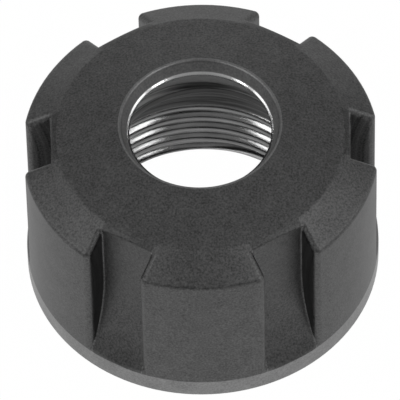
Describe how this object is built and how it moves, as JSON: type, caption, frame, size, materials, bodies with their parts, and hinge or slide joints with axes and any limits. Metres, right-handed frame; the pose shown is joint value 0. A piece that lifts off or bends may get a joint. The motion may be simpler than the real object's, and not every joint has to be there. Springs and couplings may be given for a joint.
{
  "type": "collet nut",
  "caption": "Slotted clamping nut for spring collets: domed front with a round opening, milled spanner slots, threaded bore.",
  "frame": {"origin": "middle of the rear face, the threaded end that goes onto the spindle", "axes": "+Z along the nut's axis towards the small front opening, +X through the middle of a spanner slot"},
  "size_m": [0.03, 0.03, 0.0182],
  "materials": {
    "blackened_steel": "blackened and finely blasted alloy steel, bright on the machined edges"
  },
  "bodies": {
    "root": {"nut_body": "blackened_steel"}
  },
  "joints": []
}
